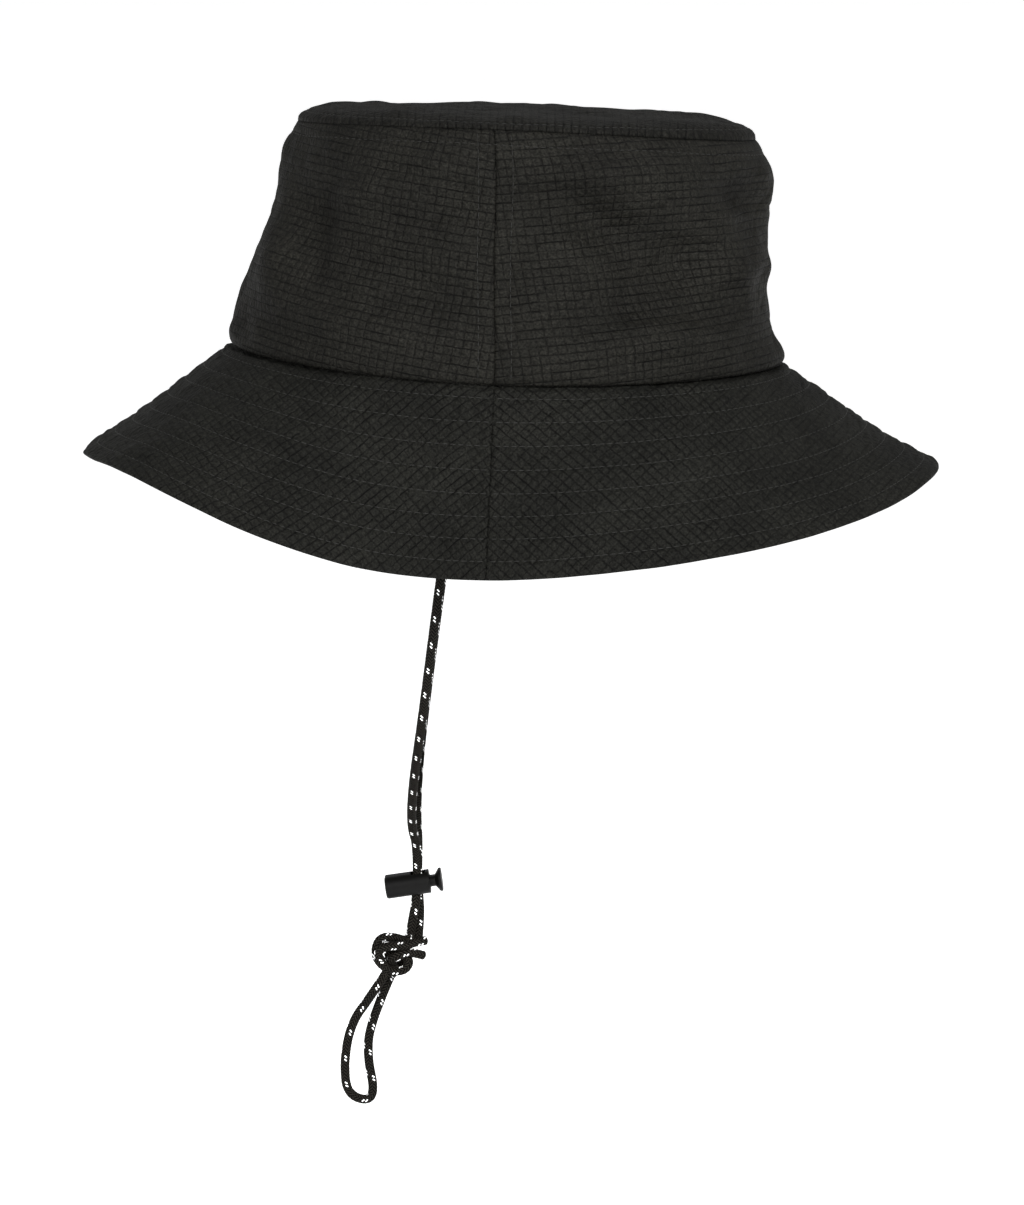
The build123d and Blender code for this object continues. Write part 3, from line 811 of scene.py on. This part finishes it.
# Closer lines at the outer edge; the inner edge reaches under the crown.
across_brim = BRIM_WIDTH - np.linspace(0, 1, 114) ** 1.15 * (BRIM_WIDTH + 4)
across_felt = np.linspace(BRIM_WIDTH - BRIM_ROLL, 3.0, 40)
for end, middle in (("_front", 0.0), ("_back", pi)):
    for layer, depth, seed in BRIM_LAYERS:
        t, s = half_grid(middle, 361, across_brim)
        points = brim_face(t, s, depth, seed)
        cut = brim_cut(t, s, middle)
        if depth > BRIM_THICKNESS / 2:
            points, cut = points[::-1], cut[::-1]
        piece = cloth(layer + end + "_cloth", points, cut, BRIM_CLOTH, 0.2)
        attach(piece, "hat")
        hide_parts(layer + end)
    t, s = half_grid(middle, 181, across_felt)
    base = brim(t, s)
    points = base + grid_normals(base) * (brim_shift(t, s) - FELT_DEPTH)[..., None]
    cut = brim_cut(t, s, middle)
    piece = cloth("brim_interlining" + end + "_felt", points, cut, PAD_CLOTH, 0.12)
    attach(piece, "hat")
    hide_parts("brim_interlining" + end)

# --- inside: sweatband and seam tapes -------------------------------------------------------
BAND_HEIGHT, BAND_INSET = 32, 2.6
TAPE_WIDTH, TAPE_INSET = 12, 0.9
FLAT_RISE, SEAM_RISE = 85, 87  # the wall's height in the bands' flat cuts and at the tip seam
once_round = np.linspace(-pi + 0.006, pi - 0.006, 361)  # open at the back by a hair
t, h = np.meshgrid(once_round, np.linspace(0.01, BAND_HEIGHT / FLAT_RISE, 33), indexing="ij")
wave = 0.35 * rough(t * GIRTH, h * 40, 17, 51) * smooth(h, 0, 0.1)
pressed = np.minimum(0, crown_shift(t, h) + 1.2)
band_points = wall_sheet(t, h, BAND_INSET, wave + pressed)
flat_cut = np.stack((t * GIRTH, h * FLAT_RISE), -1)
sweatband = cloth("sweatband_knit", band_points, flat_cut, BAND_CLOTH, 1.0)
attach(sweatband, "hat")
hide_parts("sweatband")

SIDE_SEAMS = (QUARTER_TURN, 3 * QUARTER_TURN)
for name, middle in zip(("side_seam_tape_left", "side_seam_tape_right"), SIDE_SEAMS):
    over_side_seam = np.linspace(middle - 0.07, middle + 0.07, 15)
    t, h = np.meshgrid(over_side_seam, np.linspace(0.03, 0.93, 81), indexing="ij")
    points = wall_sheet(t, h, TAPE_INSET, np.minimum(crown_shift(t, h), 0.4))
    flat_cut = np.stack((t * 90, h * FLAT_RISE), -1)
    piece = cloth(name + "_cloth", points, flat_cut, TAPE_CLOTH, 0.3)
    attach(piece, "hat")
    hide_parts(name)

# The tape over the tip seam is folded on it: u is -1 down the wall and 1 under the tip panel.
t, u = np.meshgrid(once_round, np.linspace(-1, 1, 13), indexing="ij")
h = 1 - np.maximum(-u, 0) * (TAPE_WIDTH / 2) / SEAM_RISE
below_seam = wall_sheet(t, h, TAPE_INSET, crown_shift(t, h))
under_tip = np.maximum(u, 0)
over_seam = tip_seam(t) - outward(t) * (0.7 + TAPE_WIDTH / 2 * under_tip)[..., None]
over_seam[..., 2] += 2.2 * under_tip
points = np.where((u < 0)[..., None], below_seam, over_seam)
flat_cut = np.stack((t * TIP_GIRTH, u * TAPE_WIDTH / 2), -1)
tip_tape = cloth("tip_seam_tape_cloth", points, flat_cut, TAPE_CLOTH, 0.3)
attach(tip_tape, "hat")
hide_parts("tip_seam_tape")

# --- stitching ------------------------------------------------------------------------------
STITCH_PITCH, BAND_PITCH = 2.9, 3.0


def on_brim(t, s, depth, seed):
    """A line of the brim's face and its outward normals."""
    near = np.stack((s + 0.25, s, s - 0.25), -1)
    points = brim_face(np.repeat(t[:, None], 3, 1), near, depth, seed)
    normals = grid_normals(points)[:, 1] * (1 if depth < BRIM_THICKNESS / 2 else -1)
    return points[:, 1], normals


def on_wall(t, h):
    """A line round the crown wall and its outward normals."""
    near = np.stack((h - 0.003, h, h + 0.003), -1)
    around = np.repeat(t[:, None], 3, 1)
    points = wall_sheet(around, near, 0, crown_shift(around, near))
    return points[:, 1], grid_normals(points)[:, 1]


for layer, depth, seed in BRIM_LAYERS:
    for end, middle in (("_front", 0.0), ("_back", pi)):
        t = np.linspace(middle - QUARTER_TURN + 0.008, middle + QUARTER_TURN - 0.008, 500)
        lines = [on_brim(t, np.full(500, row), depth, seed) for row in BRIM_ROWS]
        piece = stitches(layer + end + "_stitching", lines, STITCH_PITCH, THREAD)
        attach(piece, "hat")

wall_lines = []
for middle in SIDE_SEAMS:
    for side in (-1, 1):
        h = np.linspace(0.02, 0.985, 200)
        girth = np.interp(h, (0, 1), (GIRTH, TIP_RADIUS))
        near = np.stack([middle + side * SIDE_ROW / girth + d for d in (-0.004, 0, 0.004)], 0)
        high = np.repeat(h[None], 3, 0)
        points = wall_sheet(near, high, 0, crown_shift(near, high))
        wall_lines.append((points[1], grid_normals(points)[1]))
t = np.linspace(0, 2 * pi, 900)
wall_lines.append(on_wall(t, np.full(900, 1 - TIP_ROW / WALL_RISE)))
column = int(np.argmin(np.abs(tip_inward[0] - TIP_ROW)))
wall_lines.append((tip_points[:, column], tip_normals[:, column]))
piece = stitches("crown_stitching", wall_lines, STITCH_PITCH, CROWN_THREAD_PAINTED_SHADE)
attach(piece, "hat")

band_normals = -grid_normals(band_points)
band_lines = [(band_points[:, k] + band_normals[:, k], band_normals[:, k]) for k in (2, 30)]
piece = stitches("sweatband_stitching", band_lines, BAND_PITCH, THREAD)
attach(piece, "hat")

# --- the lock's spring, at rest (the real one shortens as the plunger is pressed) -------------
LOCK_CENTRE, LOCK_LEAN = np.array((0, -26.7, -204.8)), radians(10.3)
SPRING_START, SPRING_LENGTH, SPRING_TURNS = -10.8, 4.5, 3.5
SPRING_RADIUS, WIRE_RADIUS = 1.95, 0.25
SPRING_RINGS, WIRE_POINTS = 337, 12
lock_axis = np.array((0, cos(LOCK_LEAN), sin(LOCK_LEAN)))
lock_across = np.cross(lock_axis, (1, 0, 0))
spring_foot = LOCK_CENTRE + lock_axis * SPRING_START
phase = np.linspace(0, 2 * pi * SPRING_TURNS, SPRING_RINGS)
coil = spring_foot + np.outer(0.4 + SPRING_LENGTH * phase / phase[-1], lock_axis)
round_axis = np.outer(np.cos(phase), (1, 0, 0)) + np.outer(np.sin(phase), lock_across)
coil += SPRING_RADIUS * round_axis
heading = np.gradient(coil, axis=0)
heading /= np.linalg.norm(heading, axis=1, keepdims=True)
side = np.cross(heading, lock_axis)
side /= np.linalg.norm(side, axis=1, keepdims=True)
other = np.cross(heading, side)
turn = np.linspace(0, 2 * pi, WIRE_POINTS, endpoint=False)
round_wire = side[:, None] * np.cos(turn)[:, None] + other[:, None] * np.sin(turn)[:, None]
wire = (coil[:, None] + WIRE_RADIUS * round_wire).reshape(-1, 3)
spring_faces = tube_faces(SPRING_RINGS, WIRE_POINTS)
spring = add_mesh("cord_lock_spring_wire", wire, spring_faces, SPRING_STEEL)
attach(spring, "cord_lock")
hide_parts("cord_lock_spring")
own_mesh(spring)

# --- cord tabs and lock -----------------------------------------------------------------------
for node, material in (
    ("cord_tab_left", TAPE_CLOTH), ("cord_tab_right", TAPE_CLOTH),
    ("cord_lock_barrel", LOCK_PLASTIC), ("cord_lock_plunger", LOCK_PLASTIC),
):
    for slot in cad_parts[node].material_slots:
        slot.material = material

# --- studio -------------------------------------------------------------------------------------
paper = Shade("studio_paper")
paper_grain = paper.noise(paper.millimetres(), 1.5, 2.0)
paper_tint = paper.mix(paper_grain, (0.93, 0.93, 0.93, 1), (0.96, 0.96, 0.96, 1))
paper_skin = paper.finish(paper_tint, paper.ramp(paper_grain, 0, 1, 0.8, 0.9), paper_grain, 0.1)
paper.shader.inputs["Emission Color"].default_value = (1, 1, 1, 1)
paper.shader.inputs["Emission Strength"].default_value = 0.62
FLOOR_SPAN, FLOOR_LEVEL = 60000, -450
corners = [
    (x * FLOOR_SPAN, y * FLOOR_SPAN, FLOOR_LEVEL) for x, y in ((-1, -1), (1, -1), (1, 1), (-1, 1))
]
floor = add_mesh("floor", corners, [(0, 1, 2, 3)], paper_skin)
world = bpy.data.worlds.new("studio")
scene.world = world
world.use_nodes = True
world.node_tree.nodes["Background"].inputs["Color"].default_value = (1, 1, 1, 1)
world.node_tree.nodes["Background"].inputs["Strength"].default_value = 0.42
for name, place, size, power in (
    ("key", (2.1, 1.0, 1.5), 0.6, 92.0),
    ("fill", (1.9, -1.5, 0.6), 1.0, 22.0),
    ("top", (-0.4, 0.0, 1.8), 1.6, 9.0),
):
    lamp = bpy.data.lights.new(name, "AREA")
    lamp.size = size
    lamp.energy = power
    holder = bpy.data.objects.new(name, lamp)
    holder.location = place
    holder.rotation_euler = (Vector((0, 0, 0)) - Vector(place)).to_track_quat("-Z", "Y").to_euler()
    scene.collection.objects.link(holder)

bpy.context.view_layer.update()
